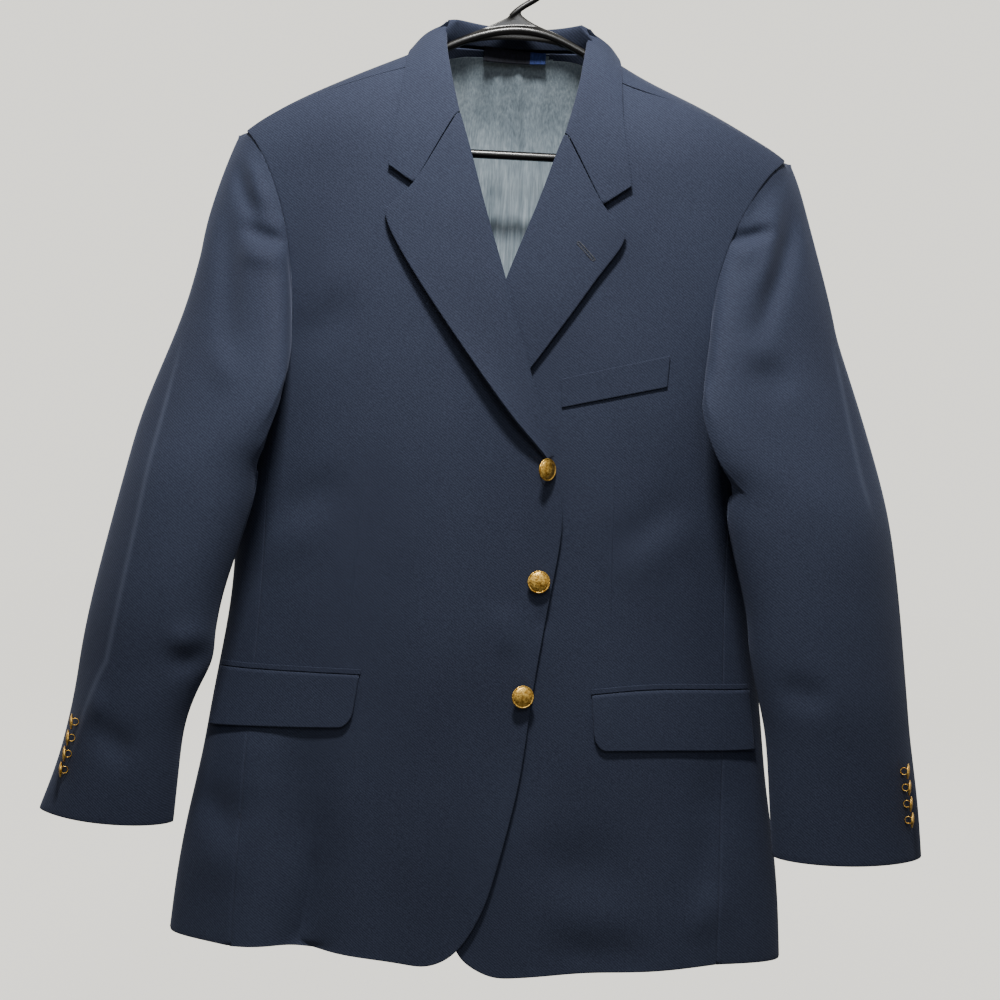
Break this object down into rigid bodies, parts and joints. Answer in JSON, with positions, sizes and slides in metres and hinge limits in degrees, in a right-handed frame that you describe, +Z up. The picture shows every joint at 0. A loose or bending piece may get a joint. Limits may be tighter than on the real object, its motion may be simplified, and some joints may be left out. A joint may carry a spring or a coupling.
{
  "type": "blazer on a hanger",
  "caption": "Single-breasted navy blazer with notch lapels, flap pockets and metal buttons, hanging open in front on a plain plastic hanger.",
  "frame": {"origin": "where the hanger's hook bears on its rail", "axes": "+X towards the wearer's left, +Z up, the front faces -Y"},
  "size_m": [0.7772, 0.166, 0.9378],
  "materials": {
    "navy_wool": "fine wool twill with a soft nap",
    "lining_satin": "grey green satin",
    "label_satin": "dark woven satin, bare",
    "black_plastic": "smooth moulded",
    "brass_buttons": "polished, domed"
  },
  "bodies": {
    "root": {"front_right": "navy_wool", "front_left": "navy_wool", "back_right": "navy_wool", "back_left": "navy_wool", "side_right": "navy_wool", "side_left": "navy_wool", "sleeve_top_right": "navy_wool", "sleeve_top_left": "navy_wool", "sleeve_under_right": "navy_wool", "sleeve_under_left": "navy_wool", "collar": "navy_wool", "lapel_right": "navy_wool", "lapel_left": "navy_wool", "pocket_flap_right": "navy_wool", "pocket_flap_left": "navy_wool", "pocket_jet_right": "navy_wool", "pocket_jet_left": "navy_wool", "breast_welt": "navy_wool", "lining_back": "lining_satin", "neck_label": "label_satin", "hanger": "black_plastic", "front_button_1": "brass_buttons", "front_button_2": "brass_buttons", "front_button_3": "brass_buttons", "cuff_button_right_1": "brass_buttons", "cuff_button_right_2": "brass_buttons", "cuff_button_right_3": "brass_buttons", "cuff_button_right_4": "brass_buttons", "cuff_button_left_1": "brass_buttons", "cuff_button_left_2": "brass_buttons", "cuff_button_left_3": "brass_buttons", "cuff_button_left_4": "brass_buttons"}
  },
  "joints": []
}
